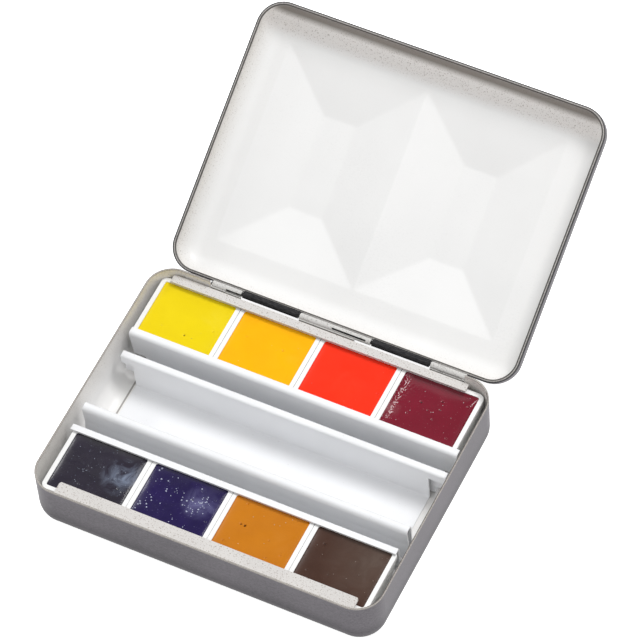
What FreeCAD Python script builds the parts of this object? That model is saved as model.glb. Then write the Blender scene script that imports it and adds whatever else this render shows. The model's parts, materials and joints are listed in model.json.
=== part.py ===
"""Pocket tin of eight half-pan watercolours.

A folded tin base holds a one-piece folded insert and two rows of plastic half
pans; a stamped lid with two mixing wells turns on a pin hinge at the back.
Millimetres.  X runs along the pan rows, +Y towards the hinge, +Z up, and the
origin is the centre of the base's underside.  The lid is drawn shut and then
turned open about the hinge axis.
"""
import math
import os

import FreeCAD
import Part

# tin
LENGTH = 83.45
WIDTH = 64.0
SHEET = 0.4
CORNER_R = 6.3
BASE_H = 14.8
BASE_EDGE_R = 4.8
BASE_OUTLINE = (-LENGTH / 2, LENGTH / 2, -WIDTH / 2, WIDTH / 2)
# lid
LID_OUTLINE = (-41.6, 43.3, -32.5, 32.0)
LID_GAP = 0.2
LID_DEPTH = 6.8
LID_EDGE_R = 5.0
LID_OPEN = 150.6
HEM_T = 0.8
HEM_H = 0.9
WELL_DEPTH = 2.8
WELL_MID_X = -0.3
WELL_X = (-0.24, 33.9)
WELL_Y = (-24.4, 22.9)
WELL_FLOOR_X = (13.1, 21.2)
WELL_FLOOR_Y = (-11.7, 10.3)
WELL_CORNER_R = 0.5
# hinge
AXIS_Y = 32.56
AXIS_Z = 12.94
ROLL_R = 0.75
ROLL_BORE_R = 0.45
CRIMP_R = 0.39
PIN_R = 0.4
PIN_X = (-28.9, 34.0)
BASE_ROLLS = ((-28.5, -21.3), (-6.8, 10.5), (25.2, 33.6))
BASE_ROLL_WALLS = ((-28.5, -21.3), (-6.8, 6.7), (25.2, 33.6))
LID_ROLLS = ((-20.9, -7.2), (10.9, 24.8))
# seam of each base roll: from x, to x, width, angle up from +Y
SEAMS = ((-25.0, -21.0, 0.8, 165.0), (1.1, 9.4, 0.45, 134.0), (25.0, 33.0, 0.36, 176.0))
BACK_CUT_X = (-28.7, 33.8)
BACK_CUT_Z = 11.5
# pans
PAN_Y = 16.7
PAN_Z = (0.7, 12.0)
PAN_WALL = 1.0
PAN_BAND = 0.9
PAN_DRAFT = 0.15
PAN_FLOOR = 1.0
PAN_CORNER_R = 1.5
# rows of pans: middle x, pitch, y, length of one pan
BACK_ROW = (-0.22, 19.8, 22.14, 19.68)
FRONT_ROW = (0.0, 19.65, -21.65, 19.55)
# paint
PAINT_GAP = 0.03
PAINT_RIM = 11.8
PAINT_TOP = 11.4
# retaining lips
LIP_Z = 12.8
LIP_LEG_Z = 11.0
LIP_LEG_X = 35.0


def box(x0, x1, y0, y1, z0, z1):
    return Part.makeBox(x1 - x0, y1 - y0, z1 - z0, FreeCAD.Vector(x0, y0, z0))


def upright(shape):
    """Edges of a shape that run along Z."""
    found = []
    for edge in shape.Edges:
        ends = [v.Point for v in edge.Vertexes]
        if len(ends) == 2 and abs(ends[0].x - ends[1].x) + abs(ends[0].y - ends[1].y) < 1e-6:
            found.append(edge)
    return found


def level(shape, z):
    """Edges of a shape that lie at one height."""
    return [e for e in shape.Edges if abs(e.BoundBox.ZMin - z) + abs(e.BoundBox.ZMax - z) < 1e-5]


def slab(outline, inset, z0, z1):
    """Block inside a rounded outline of (x0, x1, y0, y1)."""
    x0, x1, y0, y1 = outline
    block = box(x0 + inset, x1 - inset, y0 + inset, y1 - inset, z0, z1)
    return block.makeFillet(CORNER_R - inset, upright(block))


def tray(outline, inset, z0, z1, soft_z, edge_r):
    """Slab with one rounded edge loop."""
    block = slab(outline, inset, z0, z1)
    return block.makeFillet(edge_r, level(block, soft_z))


def rounded_loop(x0, x1, y0, y1, z, r):
    """Closed rectangle with rounded corners at height z."""
    corners = ((x1 - r, y1 - r, 0), (x0 + r, y1 - r, 90), (x0 + r, y0 + r, 180), (x1 - r, y0 + r, 270))
    up = FreeCAD.Vector(0, 0, 1)
    arcs = []
    for cx, cy, start in corners:
        arcs.append(Part.makeCircle(r, FreeCAD.Vector(cx, cy, z), up, start, start + 90))
    edges = []
    for here, after in zip(arcs, arcs[1:] + arcs[:1]):
        edges.append(here)
        edges.append(Part.makeLine(here.Vertexes[-1].Point, after.Vertexes[0].Point))
    return Part.Wire(edges)


def centred_loop(cx, cy, half_x, half_y, z, r):
    return rounded_loop(cx - half_x, cx + half_x, cy - half_y, cy + half_y, z, r)


def stack(loops):
    """Solid through closed loops of equal make-up, straight between them."""
    return Part.makeLoft(loops, True, True)


def strip(points, x0, x1):
    """Folded sheet along X from its centre line of (y, z, bend radius)."""
    half = SHEET / 2
    flat = [FreeCAD.Vector(0, p[0], p[1]) for p in points]
    runs = []
    start = flat[0]
    for before, here, after, spec in zip(flat, flat[1:], flat[2:], points[1:-1]):
        come = (here - before).normalize()
        leave = (after - here).normalize()
        turn = come.getAngle(leave)
        side = 1 if come.cross(leave).x > 0 else -1
        back = spec[2] * math.tan(turn / 2)
        enter = here - come * back
        exit_ = here + leave * back
        normal = FreeCAD.Vector(0, -come.z, come.y)
        centre = enter + normal * (side * spec[2])
        runs.append((start, enter, None))
        runs.append((enter, exit_, centre))
        start = exit_
    runs.append((start, flat[-1], None))

    def side_edges(shift):
        edges = []
        for a, b, centre in runs:
            if centre is None:
                along = (b - a).normalize()
                move = FreeCAD.Vector(0, -along.z, along.y) * shift
                edges.append(Part.makeLine(a + move, b + move))
                continue
            from_a = a - centre
            from_b = b - centre
            turns_left = from_a.cross(from_b).x > 0
            radius = from_a.Length + (-shift if turns_left else shift)
            middle = (from_a + from_b).normalize() * radius
            ends = (centre + from_a.normalize() * radius, centre + from_b.normalize() * radius)
            edges.append(Part.Arc(ends[0], centre + middle, ends[1]).toShape())
        return edges

    left = side_edges(half)
    right = side_edges(-half)
    caps = []
    for a, b, at in ((runs[0][0], runs[0][1], runs[0][0]), (runs[-1][0], runs[-1][1], runs[-1][1])):
        along = (b - a).normalize()
        move = FreeCAD.Vector(0, -along.z, along.y) * half
        caps.append(Part.makeLine(at + move, at - move))
    loop = Part.Wire(Part.__sortEdges__(left + right + caps))
    section = Part.Face(loop)
    section.translate(FreeCAD.Vector(x0, 0, 0))
    return section.extrude(FreeCAD.Vector(x1 - x0, 0, 0))


def rod(radius, x0, x1):
    return Part.makeCylinder(radius, x1 - x0, FreeCAD.Vector(x0, AXIS_Y, AXIS_Z), FreeCAD.Vector(1, 0, 0))


def opened(shape):
    """The lid's pieces, turned from shut to open."""
    turned = shape.copy()
    turned.rotate(FreeCAD.Vector(0, AXIS_Y, AXIS_Z), FreeCAD.Vector(1, 0, 0), -LID_OPEN)
    return turned


def base_shell():
    outer = tray(BASE_OUTLINE, 0, 0, BASE_H, 0, BASE_EDGE_R)
    inner = tray(BASE_OUTLINE, SHEET, SHEET, BASE_H + 5, SHEET, BASE_EDGE_R - SHEET)
    hinge_room = box(BACK_CUT_X[0], BACK_CUT_X[1], WIDTH / 2 - 1, WIDTH / 2 + 1, BACK_CUT_Z, BASE_H + 1)
    return outer.cut(inner).cut(hinge_room)


def base_knuckle(index):
    x0, x1 = BASE_ROLLS[index]
    wall_x0, wall_x1 = BASE_ROLL_WALLS[index]
    wall = box(wall_x0, wall_x1, WIDTH / 2 - SHEET, WIDTH / 2, BACK_CUT_Z, AXIS_Z)
    crimped = index != 1
    roll = rod(ROLL_R, x0, x1).fuse(wall).cut(rod(CRIMP_R if crimped else ROLL_BORE_R, x0, x1))
    s0, s1, width, angle = SEAMS[index]
    seam = box(s0, s1, AXIS_Y, AXIS_Y + 2 * ROLL_R, AXIS_Z - width / 2, AXIS_Z + width / 2)
    seam.rotate(FreeCAD.Vector(0, AXIS_Y, AXIS_Z), FreeCAD.Vector(1, 0, 0), angle)
    return roll.cut(seam).removeSplitter()


def hinge_pin():
    return rod(PIN_R, PIN_X[0], PIN_X[1])


def lip(inner_y, flange_x0, flange_x1, towards_back):
    """Angle strip along a long wall that keeps the pans down."""
    wall_y = WIDTH / 2 - SHEET
    bend = ((inner_y, LIP_Z, 0), (wall_y - SHEET / 2, LIP_Z, 0.4), (wall_y - SHEET / 2, LIP_LEG_Z, 0))
    angle = strip(bend, -LIP_LEG_X, LIP_LEG_X)
    ear = box(flange_x0, flange_x1, inner_y, wall_y - SHEET, LIP_Z - SHEET / 2, LIP_Z + SHEET / 2)
    ear = ear.makeFillet(0.6, upright(ear))
    shape = angle.fuse(ear).removeSplitter()
    if towards_back:
        hinge_room = box(BACK_CUT_X[0], BACK_CUT_X[1], wall_y - SHEET, wall_y + 1, 0, BASE_H)
        return shape.cut(hinge_room)
    return shape.mirror(FreeCAD.Vector(0, 0, 0), FreeCAD.Vector(0, 1, 0))


def well(drop):
    """Hopper-shaped well of the right-hand side, lid shut."""
    top = BASE_H + LID_GAP + LID_DEPTH - drop
    rim = rounded_loop(*WELL_X, *WELL_Y, top, WELL_CORNER_R)
    low = rounded_loop(*WELL_FLOOR_X, *WELL_FLOOR_Y, top + WELL_DEPTH, WELL_CORNER_R)
    foot = rounded_loop(*WELL_X, *WELL_Y, top - 0.3, WELL_CORNER_R)
    return stack([foot, rim]).fuse(stack([rim, low])).removeSplitter()


def with_wells(block, drop):
    right = well(drop)
    left = right.mirror(FreeCAD.Vector(WELL_MID_X, 0, 0), FreeCAD.Vector(1, 0, 0))
    return block.fuse([right, left]).removeSplitter()


def lid_shell():
    rim = BASE_H + LID_GAP
    top = rim + LID_DEPTH
    outer = with_wells(tray(LID_OUTLINE, 0, rim, top, top, LID_EDGE_R), 0)
    cavity = tray(LID_OUTLINE, SHEET, rim - 5, top - SHEET, top - SHEET, LID_EDGE_R - SHEET)
    hem = slab(LID_OUTLINE, 0, rim, rim + HEM_H).cut(slab(LID_OUTLINE, HEM_T, rim - 1, rim + HEM_H + 1))
    shell = outer.cut(with_wells(cavity, SHEET)).fuse(hem)
    return opened(shell.removeSplitter())


def lid_knuckle(index):
    x0, x1 = LID_ROLLS[index]
    tab = box(x0, x1, WIDTH / 2 - SHEET, WIDTH / 2, AXIS_Z, BASE_H + LID_GAP)
    roll = rod(ROLL_R, x0, x1).fuse(tab).cut(rod(ROLL_BORE_R, x0, x1))
    return opened(roll.removeSplitter())


INSERT_LINE = (
    (15.04, 12.45, 0), (13.35, 12.6, 0.6), (14.39, 4.06, 3.0), (14.34, 0.6, 0.6),
    (9.81, 0.6, 0.6), (9.81, 10.57, 0.35), (8.32, 10.57, 0.35), (8.32, 0.6, 0.6),
    (-7.47, 0.6, 0.6), (-7.47, 14.02, 0.93), (-9.46, 14.02, 0.93), (-8.96, 8.64, 4.0),
    (-9.76, 3.05, 3.0), (-10.26, 0.6, 0.6), (-13.0, 0.6, 0.6), (-13.0, 12.5, 0.35), (-14.49, 12.5, 0),
)
# (y from, y to, z from, z to, x from, x to) kept of each fold of the insert
INSERT_TRIM = (
    (10.5, 16.0, 1.5, 14.0, -39.8, 40.3),
    (8.65, 10.5, 1.5, 11.2, -39.4, 39.9),
    (7.9, 8.65, 8.3, 11.2, -39.4, 39.9),
    (-6.8, 8.65, 0.0, 8.3, -36.4, 35.8),
    (-11.5, -6.8, 3.6, 15.0, -39.4, 39.3),
    (-16.0, -12.3, 3.6, 13.2, -39.8, 39.0),
    (-16.0, 16.0, 0.0, 3.6, -36.8, 36.6),
)


def insert():
    """Folded divider: brush channel between the two rows of pans."""
    folded = strip(INSERT_LINE, -41.0, 41.0)
    for y0, y1, z0, z1, x0, x1 in INSERT_TRIM:
        folded = folded.cut(box(-42, x0, y0, y1, z0, z1))
        folded = folded.cut(box(x1, 42, y0, y1, z0, z1))
    return folded


def pan_place(index):
    """Middle x and y of a pan, and half its length."""
    middle, pitch, y, length = BACK_ROW if index < 4 else FRONT_ROW
    return middle + (index % 4 - 1.5) * pitch, y, length / 2


def pan_loop(place, inset, z, r):
    return centred_loop(place[0], place[1], place[2] - inset, PAN_Y / 2 - inset, z, r)


def pan(index):
    place = pan_place(index)
    z0, z1 = PAN_Z
    band = z1 - PAN_BAND
    low = z0 + 0.5
    floor = z0 + PAN_FLOOR
    block = stack([
        pan_loop(place, (band - low) * PAN_DRAFT + 0.5, z0, 1.0),
        pan_loop(place, (band - low) * PAN_DRAFT, low, PAN_CORNER_R),
        pan_loop(place, 0, band, PAN_CORNER_R),
        pan_loop(place, 0, z1, PAN_CORNER_R),
    ])
    hollow = stack([
        pan_loop(place, PAN_WALL + (band - floor) * PAN_DRAFT, floor, 0.5),
        pan_loop(place, PAN_WALL, band, 0.5),
        pan_loop(place, PAN_WALL, z1, 0.5),
        pan_loop(place, PAN_WALL, z1 + 1, 0.5),
    ])
    return block.cut(hollow)


def paint(index):
    place = pan_place(index)
    inset = PAN_WALL + PAINT_GAP
    band = PAN_Z[1] - PAN_BAND
    floor = PAN_Z[0] + PAN_FLOOR
    cake = stack([
        pan_loop(place, inset + (band - floor) * PAN_DRAFT, floor, 0.5),
        pan_loop(place, inset, band, 0.5),
        pan_loop(place, inset, PAINT_RIM, 0.5),
    ])
    dish = stack([
        pan_loop(place, inset + 1.8, PAINT_TOP, 0.9),
        pan_loop(place, inset + 0.2, PAINT_RIM, 0.9),
        pan_loop(place, inset + 0.2, PAINT_RIM + 1, 0.9),
    ])
    return cake.cut(dish)


def save(name, shape):
    if not shape.isValid():
        raise ValueError(name + " is not a valid shape")
    solids = shape.Solids
    if len(solids) != 1:
        raise ValueError(name + " has %d solids" % len(solids))
    solids[0].exportStep("parts/%s.step" % name)
    size = shape.BoundBox
    print("%-16s x %7.2f %7.2f  y %7.2f %7.2f  z %6.2f %6.2f  vol %9.2f" % (
        name, size.XMin, size.XMax, size.YMin, size.YMax, size.ZMin, size.ZMax, shape.Volume))


def main():
    os.makedirs("parts", exist_ok=True)
    save("base_shell", base_shell())
    save("back_lip", lip(29.2, -37.5, 34.7, True))
    save("front_lip", lip(27.7, -35.3, 36.7, False))
    save("hinge_pin", hinge_pin())
    save("insert", insert())
    save("lid_shell", lid_shell())
    for index in range(len(BASE_ROLLS)):
        save("base_knuckle_%d" % (index + 1), base_knuckle(index))
    for index in range(len(LID_ROLLS)):
        save("lid_knuckle_%d" % (index + 1), lid_knuckle(index))
    for index in range(8):
        save("pan_%d" % (index + 1), pan(index))
        save("paint_%d" % (index + 1), paint(index))


main()
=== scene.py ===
"""Looks of an open pocket tin of eight half-pan watercolours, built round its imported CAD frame."""

import json
import math
import random

import bpy
from mathutils import Matrix, Vector, noise


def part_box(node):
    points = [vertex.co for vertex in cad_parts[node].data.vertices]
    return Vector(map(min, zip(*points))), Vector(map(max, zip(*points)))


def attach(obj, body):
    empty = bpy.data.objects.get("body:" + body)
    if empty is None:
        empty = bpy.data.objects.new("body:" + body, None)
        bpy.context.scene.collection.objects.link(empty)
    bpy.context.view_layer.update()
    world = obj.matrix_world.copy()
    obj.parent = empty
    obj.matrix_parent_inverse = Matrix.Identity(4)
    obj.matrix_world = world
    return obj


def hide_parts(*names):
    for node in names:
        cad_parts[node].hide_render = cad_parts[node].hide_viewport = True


MM = 0.001

# camera: a long lens from the front right, above, with the frame rolled a little
CAM_AZIMUTH = 30.581
CAM_ELEVATION = 55.384
CAM_ROLL = -5.525
CAM_DISTANCE = 1.0438
CAM_TARGET = (-0.003406, 0.035094, 0.010)
CAM_LENS = 264.7

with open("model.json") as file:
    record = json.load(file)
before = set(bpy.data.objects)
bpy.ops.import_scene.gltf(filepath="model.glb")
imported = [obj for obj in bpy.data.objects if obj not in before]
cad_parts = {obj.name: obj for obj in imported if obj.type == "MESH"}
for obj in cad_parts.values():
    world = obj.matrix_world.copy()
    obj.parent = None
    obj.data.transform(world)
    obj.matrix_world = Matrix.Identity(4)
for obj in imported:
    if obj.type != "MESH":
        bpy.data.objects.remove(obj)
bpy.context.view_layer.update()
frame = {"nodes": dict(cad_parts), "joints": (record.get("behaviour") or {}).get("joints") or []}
nodes = frame["nodes"]
scene = bpy.context.scene


# ---------------------------------------------------------------- node helpers

class Graph:
    """Small wrapper that builds a node tree by name."""

    # sockets of a Mix node in its colour mode
    MIX_FACTOR = 0
    MIX_A = 6
    MIX_B = 7
    MIX_RESULT = 2

    def __init__(self, tree):
        self.tree = tree
        self.tree.nodes.clear()

    def add(self, kind, values=None, links=None, **props):
        node = self.tree.nodes.new(kind)
        for key, value in props.items():
            setattr(node, key, value)
        for key, value in (values or {}).items():
            node.inputs[key].default_value = value
        for key, source in (links or {}).items():
            self.tree.links.new(source, node.inputs[key])
        return node

    def math(self, operation, a, b=None):
        node = self.add("ShaderNodeMath", operation=operation)
        for index, item in enumerate((a, b)):
            if item is None:
                continue
            if isinstance(item, (int, float)):
                node.inputs[index].default_value = item
            else:
                self.tree.links.new(item, node.inputs[index])
        return node.outputs[0]

    def vector(self, operation, a, b=None):
        node = self.add("ShaderNodeVectorMath", operation=operation)
        for index, item in enumerate((a, b)):
            if item is None:
                continue
            if isinstance(item, (tuple, list)):
                node.inputs[index].default_value = item
            else:
                self.tree.links.new(item, node.inputs[index])
        return node

    def ramp(self, source, stops):
        node = self.add("ShaderNodeValToRGB", links={"Fac": source})
        ramp = node.color_ramp
        while len(ramp.elements) < len(stops):
            ramp.elements.new(0.5)
        for element, (place, colour) in zip(ramp.elements, stops):
            element.position = place
            element.color = (*colour, 1)
        return node.outputs["Color"]

    def mix(self, factor, a, b):
        node = self.add("ShaderNodeMix", data_type="RGBA")
        for index, item in ((self.MIX_FACTOR, factor), (self.MIX_A, a), (self.MIX_B, b)):
            if isinstance(item, (tuple, list)):
                node.inputs[index].default_value = (*item, 1)
            elif isinstance(item, (int, float)):
                node.inputs[index].default_value = item
            else:
                self.tree.links.new(item, node.inputs[index])
        return node.outputs[self.MIX_RESULT]

    def noise(self, vector, scale, detail=3.0, roughness=0.5):
        return self.add("ShaderNodeTexNoise", {"Scale": scale, "Detail": detail, "Roughness": roughness},
                        {"Vector": vector})

    def bump(self, height, strength, distance):
        return self.add("ShaderNodeBump", {"Strength": strength, "Distance": distance},
                        {"Height": height}).outputs[0]


def material(name):
    """An empty Principled material with its graph, its shader and object coordinates."""
    mat = bpy.data.materials.new(name)
    mat.use_nodes = True
    graph = Graph(mat.node_tree)
    shader = graph.add("ShaderNodeBsdfPrincipled")
    graph.add("ShaderNodeOutputMaterial", links={"Surface": shader.outputs[0]})
    coords = graph.add("ShaderNodeTexCoord").outputs["Object"]
    return mat, graph, shader, coords


def join(graph, source, shader, socket):
    """Links a value or colour to one of the shader's inputs."""
    graph.tree.links.new(source, shader.inputs[socket])


def split(graph, coords):
    """The X, Y and Z of a place."""
    return graph.add("ShaderNodeSeparateXYZ", links={"Vector": coords}).outputs


def spread(graph, value, low, high, start=0.0, end=1.0):
    """Maps a value from one range to another, held at the ends."""
    limits = {"From Min": low, "From Max": high, "To Min": start, "To Max": end}
    return graph.add("ShaderNodeMapRange", limits, {"Value": value}).outputs[0]


def speckle(graph, coords, scale, low, high):
    """Fine scattered specks, 1 on a speck and 0 between them."""
    cells = graph.noise(coords, scale, 2.0, 0.6)
    return spread(graph, cells.outputs["Fac"], low, high)


# ------------------------------------------------------------------- materials

SPECK = (0.25, 0.20, 0.16)
DUST = (0.70, 0.66, 0.61)
FLAW = (0.12, 0.11, 0.10)
# painted shadow colour for the gap at the end of the insert's floor
GAP_SHADOW = (0.20, 0.18, 0.16)
METAL_DARK = (0.052, 0.047, 0.055)
METAL_LIGHT = (0.113, 0.104, 0.116)
# painted shade for the lid's far rim, then painted light for the lid's far wall
PAINTED_RIM_SHADE = (0.20, 0.175, 0.155)
PAINTED_WALL_LIGHT = (0.97, 0.94, 0.915)

# the base: its rim, and where the insert's floor ends
RIM_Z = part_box("base_shell")[1][2]
OUTLINE_R = 6.3 * MM
FLOOR_END_X = -36.8 * MM
PALE_RIM = 0.2 * MM

# the open lid: directions into its panel and along it, and its outline measured along those
HINGE = frame["joints"][0]["pos_m"]
LID_TILT = math.radians(29.4)
LID_IN = (0.0, math.sin(LID_TILT), -math.cos(LID_TILT))
LID_ALONG = (0.0, math.cos(LID_TILT), math.sin(LID_TILT))
LID_PANEL_DEPTH = 8.46 * MM
LID_MID_X = 0.85 * MM
LID_MID_ALONG = 32.81 * MM
LID_HALF = (42.45 * MM, 32.25 * MM)
LID_FAR_WALL = 64.6 * MM
RIM_LINES_WIDTH = 0.8 * MM


def outside_mask(graph, coords, centre):
    """1 where the surface faces away from a point inside the shell, 0 on the inner faces."""
    normal = graph.add("ShaderNodeTexCoord").outputs["Normal"]
    reach = graph.vector("SUBTRACT", coords, centre).outputs[0]
    facing = graph.vector("DOT_PRODUCT", normal, reach).outputs["Value"]
    return graph.math("GREATER_THAN", facing, 0.0)


def brushed(graph, coords, dark, light):
    """Fine upright-pressed grain of satin tinplate: its colour and its height."""
    stretched = graph.vector("MULTIPLY", coords, (1.0, 1.0, 2.0)).outputs[0]
    fine = graph.noise(stretched, 1800.0, 4.0, 0.8).outputs["Fac"]
    slow = graph.noise(coords, 45.0, 3.0).outputs["Fac"]
    height = graph.math("ADD", graph.math("MULTIPLY", fine, 0.7), graph.math("MULTIPLY", slow, 0.3))
    return graph.ramp(height, ((0.40, dark), (0.60, light))), height


def outline_depth(graph, along, across, half):
    """How far inside a rounded outline a point lies, 0 at its edge."""
    over = []
    for place, reach in ((along, half[0]), (across, half[1])):
        over.append(graph.math("SUBTRACT", graph.math("ABSOLUTE", place), reach - OUTLINE_R))
    round_part = [graph.math("POWER", graph.math("MAXIMUM", value, 0.0), 2.0) for value in over]
    corner = graph.math("SQRT", graph.math("ADD", *round_part))
    straight = graph.math("MINIMUM", graph.math("MAXIMUM", *over), 0.0)
    return graph.math("SUBTRACT", OUTLINE_R, graph.math("ADD", corner, straight))


def base_outline_depth(graph, coords):
    """Depth in from the rim's outer edge; only the +X wall reaches the dark inner part of the rim, a
    painted shadow of the gap between that wall and the pans.
    """
    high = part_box("base_shell")[1]
    place = split(graph, coords)
    depth = outline_depth(graph, place["X"], place["Y"], (high[0], high[1]))
    held = graph.math("MINIMUM", depth, PALE_RIM)
    right = graph.math("GREATER_THAN", place["X"], high[0] - 2.0 * MM)
    return graph.math("ADD", held, graph.math("MULTIPLY", right, graph.math("SUBTRACT", depth, held)))


def lid_along(graph, coords):
    """Distance from the hinge, measured along the open lid."""
    reach = graph.vector("SUBTRACT", coords, HINGE).outputs[0]
    return graph.vector("DOT_PRODUCT", reach, LID_ALONG).outputs["Value"]


def lid_outline_depth(graph, coords):
    """Depth in from the lid's outer edge."""
    across = graph.math("SUBTRACT", split(graph, coords)["X"], LID_MID_X)
    along = graph.math("SUBTRACT", lid_along(graph, coords), LID_MID_ALONG)
    return outline_depth(graph, across, along, LID_HALF)


def base_painted_gap_shadow(graph, coords, colour):
    """Painted shadow: a thin dark line where the end of the insert's floor lies on the tin, standing for
    the shade in the gap there.
    """
    place = split(graph, coords)
    low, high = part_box("insert")
    away = graph.math("ABSOLUTE", graph.math("SUBTRACT", place["X"], FLOOR_END_X - 0.3 * MM))
    line = spread(graph, away, 0.26 * MM, 0.14 * MM)
    inside = graph.math("LESS_THAN", graph.math("ABSOLUTE", place["Y"]), high[1] - 1.0 * MM)
    flat = graph.math("LESS_THAN", place["Z"], low[2] + 0.2 * MM)
    line = graph.math("MULTIPLY", graph.math("MULTIPLY", line, inside), flat)
    return graph.mix(graph.math("MULTIPLY", line, 0.75), colour, GAP_SHADOW)


def base_painted_shade(graph, coords, metal):
    """Painted shade: darkens the outer metal towards the table."""
    toned = graph.vector("SCALE", metal)
    painted_shade = spread(graph, base_rim_value(graph, coords), 1.0 * MM, 8.0 * MM, 0.35, 1.0)
    graph.tree.links.new(painted_shade, toned.inputs["Scale"])
    return toned.outputs[0]


def lid_painted_light_and_dust(graph, coords, colour):
    """The wall away from the hinge: painted light makes it paler and warmer, dust specks lie on it, and
    painted shade turns it brown towards its rim.
    """
    along = lid_along(graph, coords)
    far = spread(graph, along, LID_FAR_WALL - 6.6 * MM, LID_FAR_WALL - 4.4 * MM)
    # painted light: the far wall paler and warmer than the lining
    lit_far_wall = graph.mix(graph.math("MULTIPLY", far, 0.9), colour, PAINTED_WALL_LIGHT)
    dust = graph.math("MULTIPLY", speckle(graph, coords, 3400.0, 0.57, 0.67), far)
    dusty = graph.mix(graph.math("MULTIPLY", dust, 0.5), lit_far_wall, SPECK)
    # painted shade: brown towards the far rim
    rim_shade = spread(graph, along, LID_FAR_WALL - 2.3 * MM, LID_FAR_WALL - 1.0 * MM)
    return graph.mix(graph.math("MULTIPLY", rim_shade, 0.92), dusty, PAINTED_RIM_SHADE)


def lined_tin(name, inside, lining, bend, rim_value, dust_range, rim_range, rim_depth, rim_lines, stain,
              painted_shade=None):
    """Satin tinplate outside, white enamel inside, bare metal along the rim in fine lines that are partly
    painted highlight and shade. Functions passed in paint light and shade into the lining and the outer
    metal.
    """
    mat, graph, shader, coords = material(name)
    outer = outside_mask(graph, coords, inside)
    metal, height = brushed(graph, coords, METAL_DARK, METAL_LIGHT)
    # optional painted shade on the outer metal
    if painted_shade:
        metal = painted_shade(graph, coords, metal)

    clouds = graph.noise(coords, 60.0, 3.0).outputs["Fac"]
    body = graph.ramp(clouds, ((0.35, [c * 0.975 for c in lining]), (0.65, lining)))
    near_rim = spread(graph, rim_value(graph, coords), *dust_range)
    dusty = graph.mix(graph.math("MULTIPLY", near_rim, 0.6), body, DUST)
    spots = graph.math("MULTIPLY", speckle(graph, coords, 3000.0, 0.60, 0.68), near_rim)
    spotted = graph.mix(graph.math("MULTIPLY", spots, 0.65), dusty, SPECK)
    # the stain function paints shade and light, with dust on the lid, into the lining's colour
    colour = graph.mix(outer, stain(graph, coords, spotted), metal)

    rim = spread(graph, rim_value(graph, coords), *rim_range)
    lines = graph.ramp(spread(graph, rim_depth(graph, coords), 0.0, RIM_LINES_WIDTH), rim_lines)
    flaws = graph.math("MULTIPLY", speckle(graph, coords, 4200.0, 0.45, 0.60), 0.5)
    # the rim lines are partly painted highlight and shade; the flaws are specks of wear
    worn = graph.mix(flaws, lines, FLAW)
    join(graph, graph.mix(rim, colour, worn), shader, "Base Color")

    bare = graph.math("MAXIMUM", outer, rim)
    lined = graph.math("SUBTRACT", 1.0, bare)
    join(graph, graph.math("MULTIPLY", bare, 0.45), shader, "Metallic")
    satin = spread(graph, height, 0.3, 0.7, 0.40, 0.58)
    join(graph, graph.math("SUBTRACT", satin, graph.math("MULTIPLY", lined, 0.18)), shader, "Roughness")
    soft = graph.add("ShaderNodeBevel", {"Radius": bend}, samples=6).outputs[0]
    pressed = graph.bump(height, 0.25, 0.05 * MM)
    graph.tree.links.new(soft, pressed.node.inputs["Normal"])
    join(graph, pressed, shader, "Normal")
    shader.inputs["Specular IOR Level"].default_value = 0.3
    return mat


def base_rim_value(graph, coords):
    """Height above the table."""
    return split(graph, coords)["Z"]


def lid_rim_value(graph, coords):
    """How far above the inner face of the lid's panel, towards the rim."""
    reach = graph.vector("SUBTRACT", coords, HINGE).outputs[0]
    depth = graph.vector("DOT_PRODUCT", reach, LID_IN).outputs["Value"]
    return graph.math("SUBTRACT", LID_PANEL_DEPTH, depth)


def speckled_enamel(name, base, specks, amount):
    """Pale enamel with fine and coarse dark specks."""
    mat, graph, shader, coords = material(name)
    clouds = graph.noise(coords, 90.0, 3.0).outputs["Fac"]
    body = graph.ramp(clouds, ((0.35, [c * 0.95 for c in base]), (0.65, base)))
    fine = graph.math("MULTIPLY", speckle(graph, coords, 3400.0, 0.58, 0.66), amount)
    coarse = graph.math("MULTIPLY", speckle(graph, coords, 1900.0, 0.67, 0.72), amount)
    spots = graph.math("MAXIMUM", fine, coarse)
    join(graph, graph.mix(spots, body, specks), shader, "Base Color")
    orange = graph.noise(coords, 900.0, 3.0).outputs["Fac"]
    join(graph, spread(graph, orange, 0.3, 0.7, 0.34, 0.46), shader, "Roughness")
    join(graph, graph.bump(orange, 0.15, 0.00004), shader, "Normal")
    return mat


def white_enamel(name, base):
    """Smooth enamel with a little dust."""
    mat, graph, shader, coords = material(name)
    clouds = graph.noise(coords, 70.0, 3.0).outputs["Fac"]
    body = graph.ramp(clouds, ((0.35, [c * 0.97 for c in base]), (0.65, base)))
    dust = graph.math("MULTIPLY", speckle(graph, coords, 2100.0, 0.70, 0.75), 0.35)
    join(graph, graph.mix(dust, body, (0.55, 0.54, 0.52)), shader, "Base Color")
    orange = graph.noise(coords, 500.0, 3.0).outputs["Fac"]
    join(graph, spread(graph, orange, 0.3, 0.7, 0.30, 0.40), shader, "Roughness")
    join(graph, graph.bump(orange, 0.12, 0.00005), shader, "Normal")
    return mat


def dark_metal(name, light, dark, rough):
    """Bare steel, worn along its length."""
    mat, graph, shader, coords = material(name)
    worn = graph.noise(graph.vector("MULTIPLY", coords, (1.0, 4.0, 4.0)).outputs[0], 900.0, 5.0, 0.65)
    join(graph, graph.ramp(worn.outputs["Fac"], ((0.40, dark), (0.70, light))), shader, "Base Color")
    shader.inputs["Metallic"].default_value = 0.5
    shader.inputs["Specular IOR Level"].default_value = 0.2
    join(graph, spread(graph, worn.outputs["Fac"], 0.3, 0.7, rough, rough + 0.2), shader, "Roughness")
    join(graph, graph.bump(worn.outputs["Fac"], 0.3, 0.00006), shader, "Normal")
    return mat


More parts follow.
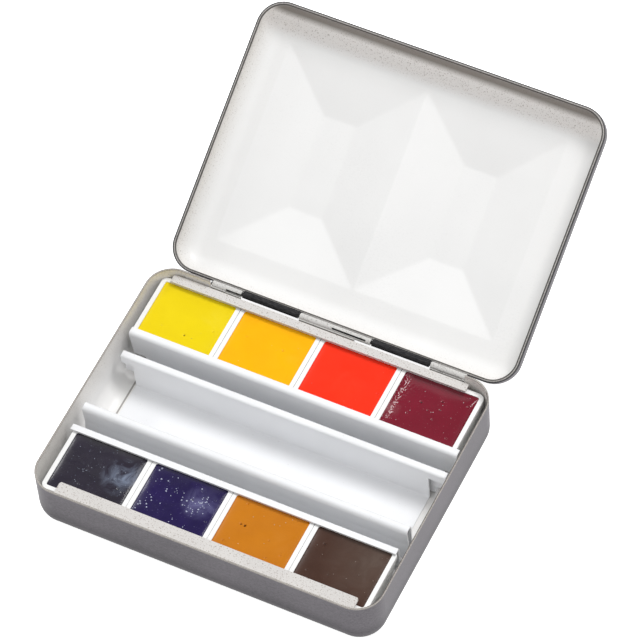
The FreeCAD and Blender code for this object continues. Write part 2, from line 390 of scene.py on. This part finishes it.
def plastic_material(name):
    """White plastic, faintly stained."""
    mat, graph, shader, coords = material(name)
    flow = graph.noise(coords, 120.0, 3.0).outputs["Fac"]
    body = graph.ramp(flow, ((0.3, (0.88, 0.88, 0.875)), (0.7, (0.91, 0.91, 0.905))))
    stain = graph.math("MULTIPLY", speckle(graph, coords, 800.0, 0.66, 0.76), 0.12)
    join(graph, graph.mix(stain, body, (0.70, 0.66, 0.60)), shader, "Base Color")
    join(graph, spread(graph, flow, 0.3, 0.7, 0.24, 0.36), shader, "Roughness")
    join(graph, graph.bump(flow, 0.1, 0.0001), shader, "Normal")
    return mat


def paint_material(name, base, shade, haze, haze_amount, place, reach, rough, gloss, veil, pit_z):
    """Dried watercolour: clouded colour, a hazy bloom round one place, and painted shade that darkens the
    pits.
    """
    mat, graph, shader, coords = material(name)
    slow = graph.noise(coords, 160.0, 4.0, 0.6)
    colour = graph.ramp(slow.outputs["Fac"], ((0.3, shade), (0.7, base)))
    away = graph.vector("SUBTRACT", coords, place).outputs[0]
    far = graph.vector("LENGTH", away).outputs["Value"]
    near = spread(graph, far, reach, 0.0)
    curls = graph.noise(coords, 220.0, 5.0, 0.6)
    curls.inputs["Distortion"].default_value = 1.1
    swirl = curls.outputs["Fac"]
    film = graph.math("MULTIPLY", spread(graph, swirl, 0.42, 0.66, veil, 1.0), near)
    film = graph.math("MULTIPLY", film, haze_amount)
    fleck = speckle(graph, coords, 2600.0, 0.68, 0.74)
    film = graph.math("MAXIMUM", film, graph.math("MULTIPLY", fleck, haze_amount * 0.6))
    level = split(graph, coords)["Z"]
    # painted shade: the paint turns dark below the pits' level
    painted_pit_shade = spread(graph, level, pit_z, pit_z - 0.08 * MM, 0.0, 0.85)
    flat = graph.mix(film, colour, haze)
    join(graph, graph.mix(painted_pit_shade, flat, [c * 0.12 for c in base]), shader, "Base Color")
    shader.inputs["Specular IOR Level"].default_value = gloss
    join(graph, spread(graph, swirl, 0.3, 0.7, rough, rough + 0.18), shader, "Roughness")
    fine = graph.noise(coords, 1500.0, 3.0).outputs["Fac"]
    join(graph, graph.bump(fine, 0.08, 0.00004), shader, "Normal")
    return mat


def bubble_glint_material(name, colour):
    """A bubble, coloured paler than the paint round it as a painted highlight that stands for its glint."""
    mat, graph, shader, coords = material(name)
    mottle = graph.noise(coords, 4000.0, 2.0).outputs["Fac"]
    skin = graph.ramp(mottle, ((0.35, [c * 0.55 for c in colour]), (0.65, colour)))
    join(graph, skin, shader, "Base Color")
    join(graph, spread(graph, mottle, 0.3, 0.7, 0.12, 0.30), shader, "Roughness")
    join(graph, graph.bump(mottle, 0.2, 0.00003), shader, "Normal")
    return mat


# what the rims look like from their outer edge inwards, over the width of the lines; the dark end of the
# base's lines, reached only on its +X wall, is painted shadow of the gap beside the pans
BASE_RIM_LINES = (
    (0.0, (0.30, 0.28, 0.26)),
    (0.25, (0.46, 0.43, 0.40)),
    (0.36, (0.16, 0.14, 0.13)),
    (0.5, (0.04, 0.035, 0.04)),
)
# on the lid, the pale middle line is a painted highlight of the rim's cut edge, and the dark line inside it
# is painted shade of the inner wall
LID_RIM_LINES = (
    (0.0, (0.05, 0.05, 0.055)),
    (0.30, (0.07, 0.07, 0.075)),
    (0.42, (0.52, 0.50, 0.48)),
    (0.58, (0.52, 0.50, 0.48)),
    (0.70, (0.10, 0.095, 0.09)),
)
tin_base = lined_tin("tin_base_metal", inside=(0.0, 0.0, 8.0 * MM), lining=(0.87, 0.86, 0.845),
                     bend=0.1 * MM, rim_value=base_rim_value, dust_range=(6.0 * MM, 14.6 * MM),
                     rim_range=(RIM_Z - 0.3 * MM, RIM_Z - 0.1 * MM), rim_depth=base_outline_depth,
                     rim_lines=BASE_RIM_LINES, stain=base_painted_gap_shadow, painted_shade=base_painted_shade)
tin_lid = lined_tin("tin_lid_metal", inside=(0.0, 64.0 * MM, 23.5 * MM), lining=(0.845, 0.845, 0.84),
                    bend=0.9 * MM, rim_value=lid_rim_value, dust_range=(0.3 * MM, 3.6 * MM),
                    rim_range=(6.1 * MM, 6.3 * MM), rim_depth=lid_outline_depth,
                    rim_lines=LID_RIM_LINES, stain=lid_painted_light_and_dust)
lip_enamel = speckled_enamel("lip_enamel", (0.66, 0.64, 0.62), SPECK, 0.70)
knuckle_enamel = speckled_enamel("knuckle_enamel", (0.62, 0.61, 0.59), (0.12, 0.10, 0.09), 0.65)
insert_white = white_enamel("insert_white", (0.86, 0.868, 0.885))
pin_steel = dark_metal("pin_steel", (0.06, 0.06, 0.06), (0.02, 0.02, 0.02), 0.3)
roll_steel = dark_metal("roll_steel", (0.055, 0.053, 0.055), (0.016, 0.016, 0.018), 0.3)
pan_white = plastic_material("pan_white")


def dress(node_name, mat):
    """Puts a material on a CAD node, linked to the object."""
    mesh_object = nodes[node_name]
    if not mesh_object.material_slots:
        mesh_object.data.materials.append(mat)
    for slot in mesh_object.material_slots:
        slot.link = "OBJECT"
        slot.material = mat


dress("base_shell", tin_base)
dress("lid_shell", tin_lid)
dress("back_lip", lip_enamel)
dress("front_lip", lip_enamel)
dress("insert", insert_white)
dress("hinge_pin", pin_steel)
for index in (1, 2, 3):
    dress("base_knuckle_%d" % index, knuckle_enamel)
for index in (1, 2):
    dress("lid_knuckle_%d" % index, roll_steel)
for index in range(1, 9):
    dress("pan_%d" % index, pan_white)


# ----------------------------------------------------------------- paint cakes

CELL = 0.16 * MM
CAKE_CORNER_R = 0.5 * MM
MENISCUS = 0.9 * MM
FLOOR_GAP = 0.05 * MM
PAN_DRAFT = 0.15
BAND_DROP = 0.7 * MM
NEAR_EDGE = 0.95
BEAD_TURNS = 12
BEAD_RINGS = 6


def rounded(u, v, half_x, half_y, r):
    """Maps the square -1..1 onto a rectangle with rounded corners."""
    x, y = u * half_x, v * half_y
    over_x, over_y = abs(x) - (half_x - r), abs(y) - (half_y - r)
    if over_x <= 0 or over_y <= 0:
        return x, y
    shrink = max(over_x, over_y) / math.hypot(over_x, over_y)
    return (math.copysign(half_x - r + over_x * shrink, x), math.copysign(half_y - r + over_y * shrink, y))


def bead(verts, faces, centre, radius, squash):
    """Adds a small closed bubble."""
    start = len(verts)
    verts.append((centre[0], centre[1], centre[2] + radius * squash))
    for ring in range(1, BEAD_RINGS):
        tilt = math.pi * ring / BEAD_RINGS
        for turn in range(BEAD_TURNS):
            a = 2 * math.pi * turn / BEAD_TURNS
            verts.append((centre[0] + radius * math.sin(tilt) * math.cos(a),
                          centre[1] + radius * math.sin(tilt) * math.sin(a),
                          centre[2] + radius * squash * math.cos(tilt)))
    verts.append((centre[0], centre[1], centre[2] - radius * squash))
    last = len(verts) - 1
    for turn in range(BEAD_TURNS):
        after = (turn + 1) % BEAD_TURNS
        faces.append((start, start + 1 + turn, start + 1 + after))
        for ring in range(BEAD_RINGS - 2):
            a = start + 1 + ring * BEAD_TURNS
            b = a + BEAD_TURNS
            faces.append((a + turn, b + turn, b + after, a + after))
        low = start + 1 + (BEAD_RINGS - 2) * BEAD_TURNS
        faces.append((low + turn, last, low + after))


def surface_height(surface, half_x, half_y, pits, seed):
    """Height of the dried paint below its highest level, as a function of place."""
    sag = surface["sag"] * MM
    wave = surface["wave"] * MM
    lift_right = surface["right_lift"] * MM
    crackle = surface["crackle"]

    def height(x, y):
        off_side = 1 - math.exp((abs(x) - half_x) / MENISCUS)
        off_end = 1 - math.exp((abs(y) - half_y) / MENISCUS)
        open_part = off_side * off_end
        z = -sag * open_part + wave * open_part * noise.noise(Vector((x * 230, y * 230, seed)))
        if crackle and x < -half_x * 0.4:
            near = math.exp(-(x + half_x) / (2.0 * MM))
            z += 0.14 * MM * near * noise.fractal(Vector((x * 2600, y * 2600, 1.0)), 0.8, 2.0, 3)
        if lift_right:
            z += lift_right * math.exp(-(half_x - x) / (1.3 * MM)) * (1 - y / half_y) / 2
        for px, py, pr in pits:
            gap = (x - px) ** 2 + (y - py) ** 2
            if gap < 4 * pr * pr:
                z -= 1.1 * pr * math.exp(-gap / (pr * pr) * 1.6)
        return min(z, 0.0)

    return height


def cake_top(verts, faces, middle, half, top, height):
    """Adds the grid of the paint's surface and returns its edge, once round."""
    count_x = int(2 * half[0] / CELL)
    count_y = int(2 * half[1] / CELL)
    wide = count_x + 1
    for j in range(count_y + 1):
        for i in range(wide):
            x, y = rounded(2 * i / count_x - 1, 2 * j / count_y - 1, half[0], half[1], CAKE_CORNER_R)
            verts.append((middle[0] + x, middle[1] + y, top + height(x, y)))
    for j in range(count_y):
        for i in range(count_x):
            a = j * wide + i
            faces.append((a, a + 1, a + wide + 1, a + wide))
    edge = list(range(wide))
    edge += [j * wide + count_x for j in range(1, count_y + 1)]
    edge += [count_y * wide + i for i in range(count_x - 1, -1, -1)]
    edge += [j * wide for j in range(count_y - 1, 0, -1)]
    return edge


def cake_sides(verts, faces, middle, half, top, depth, edge):
    """Adds the upright band under the edge, the tapered side and the underside."""
    for drop in (BAND_DROP, depth):
        inset = (drop - BAND_DROP) * PAN_DRAFT
        start = len(verts)
        for k in edge:
            x = (verts[k][0] - middle[0]) * (half[0] - inset) / half[0]
            y = (verts[k][1] - middle[1]) * (half[1] - inset) / half[1]
            verts.append((middle[0] + x, middle[1] + y, top - drop))
        ring = list(range(start, len(verts)))
        for k, here in enumerate(edge):
            after = (k + 1) % len(edge)
            faces.append((edge[after], here, ring[k], ring[after]))
        edge = ring
    faces.append(tuple(edge[::-1]))


def bubble_place(rng, cluster, half):
    """Where one bubble lies: in a cluster more often than not, if there are any."""
    if cluster and rng.random() < 0.6:
        spot = rng.choice(cluster)
        x, y = (spot[0] + rng.gauss(0, 0.10)) * half[0], (spot[1] + rng.gauss(0, 0.14)) * half[1]
    else:
        x, y = rng.uniform(-0.93, 0.93) * half[0], rng.uniform(-0.93, 0.93) * half[1]
    x = max(-half[0] * NEAR_EDGE, min(half[0] * NEAR_EDGE, x))
    y = max(-half[1] * NEAR_EDGE, min(half[1] * NEAR_EDGE, y))
    return x, y


def cake(index, label, surface, mat, bubble_glint_mat):
    """Dried paint in a half pan: wavy top, raised edge, bubbles, pits and a crackled side."""
    low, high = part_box("paint_%d" % index)
    middle = ((low[0] + high[0]) / 2, (low[1] + high[1]) / 2)
    half = ((high[0] - low[0]) / 2, (high[1] - low[1]) / 2)
    rng = random.Random(100 + index)
    pits = []
    for _ in range(surface["pits"]):
        x, y = rng.uniform(-0.9, 0.9) * half[0], rng.uniform(-0.85, 0.85) * half[1]
        pits.append((x, y, rng.uniform(0.16, 0.30) * MM))
    height = surface_height(surface, half[0], half[1], pits, index * 3.7)

    verts = []
    faces = []
    edge = cake_top(verts, faces, middle, half, high[2], height)
    cake_sides(verts, faces, middle, half, high[2], high[2] - low[2] - FLOOR_GAP, edge)
    plain_faces = len(faces)
    for _ in range(surface["bubbles"]):
        x, y = bubble_place(rng, surface["cluster"], half)
        size = rng.uniform(*surface["bubble_size"]) * MM
        bead(verts, faces, (middle[0] + x, middle[1] + y, high[2] + height(x, y) - 0.15 * size), size, 0.85)

    data = bpy.data.meshes.new("cake_%s" % label)
    data.from_pydata(verts, [], faces)
    data.polygons.foreach_set("use_smooth", [True] * len(faces))
    data.update()
    data.materials.append(mat)
    # second slot: the bubbles, coloured pale as a painted highlight
    data.materials.append(bubble_glint_mat)
    data.polygons.foreach_set("material_index", [int(k >= plain_faces) for k in range(len(faces))])
    obj = bpy.data.objects.new("cake_%s" % label, data)
    scene.collection.objects.link(obj)
    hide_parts("paint_%d" % index)
    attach(obj, "base")


def recipe(sag=0.30, wave=0.10, pits=3, bubbles=3, bubble_size=(0.06, 0.12), cluster=(), crackle=False,
           right_lift=0.0, veil=0.0):
    """A cake's surface, sizes in millimetres."""
    return {"sag": sag, "wave": wave, "pits": pits, "bubbles": bubbles, "bubble_size": bubble_size,
            "cluster": cluster, "crackle": crackle, "right_lift": right_lift, "veil": veil}


def paint(index, label, base, shade, haze, haze_amount, spot, reach, rough, gloss, bubble_glint_colour, surface):
    """One paint: its colours, a haze round a spot (-1 to 1 across the pan), its gloss, the pale colour of
    its bubbles (a painted highlight) and its surface.
    """
    low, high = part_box("paint_%d" % index)
    place = [(low[k] + high[k]) / 2 + spot[k] * (high[k] - low[k]) / 2 for k in (0, 1)] + [high[2]]
    pit_z = high[2] - (surface["sag"] + 0.12) * MM
    mat = paint_material("paint_" + label, base, shade, haze, haze_amount, place, reach * MM, rough, gloss,
                         surface["veil"], pit_z)
    cake(index, label, surface, mat, bubble_glint_material("bubble_" + label, bubble_glint_colour))


paint(1, "bright_yellow", base=(0.82, 0.63, 0.002), shade=(0.78, 0.59, 0.001), haze=(0.90, 0.75, 0.10),
      haze_amount=0.15, spot=(0.7, 0.3), reach=4.0, rough=0.28, gloss=0.15, bubble_glint_colour=(0.85, 0.68, 0.05),
      surface=recipe(wave=0.05, bubbles=3, right_lift=0.35))
paint(2, "deep_yellow", base=(0.93, 0.46, 0.0), shade=(0.90, 0.43, 0.0), haze=(0.95, 0.55, 0.05),
      haze_amount=0.12, spot=(0.6, 0.2), reach=4.0, rough=0.30, gloss=0.12, bubble_glint_colour=(0.95, 0.60, 0.12),
      surface=recipe(wave=0.04, pits=2, bubbles=5))
paint(3, "scarlet", base=(0.90, 0.031, 0.006), shade=(0.87, 0.027, 0.005), haze=(0.95, 0.09, 0.04),
      haze_amount=0.12, spot=(0.0, 0.0), reach=5.0, rough=0.32, gloss=0.15, bubble_glint_colour=(0.95, 0.16, 0.10),
      surface=recipe(wave=0.04, pits=1, bubbles=4))
paint(4, "maroon", base=(0.190, 0.004, 0.020), shade=(0.160, 0.003, 0.016), haze=(0.50, 0.30, 0.31),
      haze_amount=0.40, spot=(-0.99, -0.35), reach=3.2, rough=0.07, gloss=0.34, bubble_glint_colour=(0.55, 0.36, 0.38),
      surface=recipe(sag=0.9, wave=0.10, pits=10, bubbles=15, bubble_size=(0.07, 0.18), crackle=True,
                     veil=0.15))
paint(5, "indigo", base=(0.015, 0.010, 0.025), shade=(0.010, 0.007, 0.017), haze=(0.24, 0.29, 0.40),
      haze_amount=0.85, spot=(0.62, 0.15), reach=5.2, rough=0.16, gloss=0.45, bubble_glint_colour=(0.34, 0.37, 0.46),
      surface=recipe(sag=0.35, wave=0.10, pits=3, bubbles=46, bubble_size=(0.05, 0.12),
                     cluster=((-0.3, 0.0), (0.6, 0.2))))
paint(6, "violet_blue", base=(0.013, 0.004, 0.074), shade=(0.008, 0.003, 0.048), haze=(0.30, 0.30, 0.55),
      haze_amount=0.60, spot=(0.5, 0.3), reach=4.6, rough=0.14, gloss=0.30, bubble_glint_colour=(0.52, 0.54, 0.72),
      surface=recipe(sag=0.35, wave=0.14, pits=5, bubbles=80, bubble_size=(0.06, 0.23),
                     cluster=((0.55, 0.35), (-0.75, -0.2), (0.3, 0.0)), veil=0.2))
paint(7, "ochre", base=(0.56, 0.185, 0.001), shade=(0.51, 0.163, 0.0005), haze=(0.65, 0.28, 0.04),
      haze_amount=0.15, spot=(0.5, 0.0), reach=4.0, rough=0.32, gloss=0.20, bubble_glint_colour=(0.80, 0.50, 0.25),
      surface=recipe(wave=0.05, pits=8, bubbles=9, bubble_size=(0.08, 0.15)))
paint(8, "dark_brown", base=(0.058, 0.022, 0.012), shade=(0.044, 0.015, 0.007), haze=(0.125, 0.092, 0.074),
      haze_amount=0.65, spot=(0.7, 0.5), reach=12.0, rough=0.30, gloss=0.24, bubble_glint_colour=(0.26, 0.20, 0.17),
      surface=recipe(sag=0.35, wave=0.08, pits=3, bubbles=13, bubble_size=(0.06, 0.13), veil=0.7))


# ------------------------------------------------------------- camera, studio

def look_from(obj, azimuth, elevation, distance, target, roll=0.0):
    """Puts an object on a sphere round a point, looking at it, rolled about its view."""
    a, e = math.radians(azimuth), math.radians(elevation)
    back = Vector((math.sin(a) * math.cos(e), -math.cos(a) * math.cos(e), math.sin(e)))
    obj.location = Vector(target) + back * distance
    turn = (-back).to_track_quat("-Z", "Y").to_matrix().to_4x4()
    obj.rotation_mode = "QUATERNION"
    obj.rotation_quaternion = (turn @ Matrix.Rotation(math.radians(roll), 4, "Z")).to_quaternion()


cam_data = bpy.data.cameras.new("camera")
cam_data.sensor_width = 36.0
cam_data.lens = CAM_LENS
cam_data.clip_start = 0.05
camera = bpy.data.objects.new("camera", cam_data)
scene.collection.objects.link(camera)
look_from(camera, CAM_AZIMUTH, CAM_ELEVATION, CAM_DISTANCE, CAM_TARGET, CAM_ROLL)
scene.camera = camera


def softbox(name, azimuth, elevation, distance, size, power):
    """Round area light aimed at the object."""
    data = bpy.data.lights.new(name, "AREA")
    data.shape = "DISK"
    data.size = size
    data.energy = power
    lamp = bpy.data.objects.new(name, data)
    scene.collection.objects.link(lamp)
    look_from(lamp, azimuth, elevation, distance, (0.0, 0.02, 0.01))


# the key from the back right, a broad fill above, and a small lamp that glints on wet-looking paint
softbox("key_light", 136.0, 63.0, 0.9, 0.32, 3.9)
softbox("top_light", 0.0, 88.0, 1.0, 0.9, 1.75)
softbox("glint_light", 245.0, 41.0, 0.9, 0.14, 0.8)

world = bpy.data.worlds.new("studio")
world.use_nodes = True
world.node_tree.nodes["Background"].inputs["Color"].default_value = (1.0, 1.0, 1.0, 1.0)
world.node_tree.nodes["Background"].inputs["Strength"].default_value = 0.55
scene.world = world
scene.view_settings.view_transform = "Standard"


def floor():
    """Plain pale ground, a little self-lit so that it reads as white paper."""
    mesh = bpy.data.meshes.new("floor")
    half = 3.0
    corners = [(-half, -half, 0), (half, -half, 0), (half, half, 0), (-half, half, 0)]
    mesh.from_pydata(corners, [], [(0, 1, 2, 3)])
    obj = bpy.data.objects.new("floor", mesh)
    scene.collection.objects.link(obj)
    mat, graph, shader, coords = material("floor_white")
    paper = graph.noise(coords, 40.0, 2.0)
    join(graph, graph.ramp(paper.outputs["Fac"], ((0.3, (0.93, 0.93, 0.93)), (0.7, (0.95, 0.95, 0.95)))),
         shader, "Base Color")
    shader.inputs["Roughness"].default_value = 0.9
    shader.inputs["Emission Color"].default_value = (1, 1, 1, 1)
    shader.inputs["Emission Strength"].default_value = 0.85
    mesh.materials.append(mat)


floor()
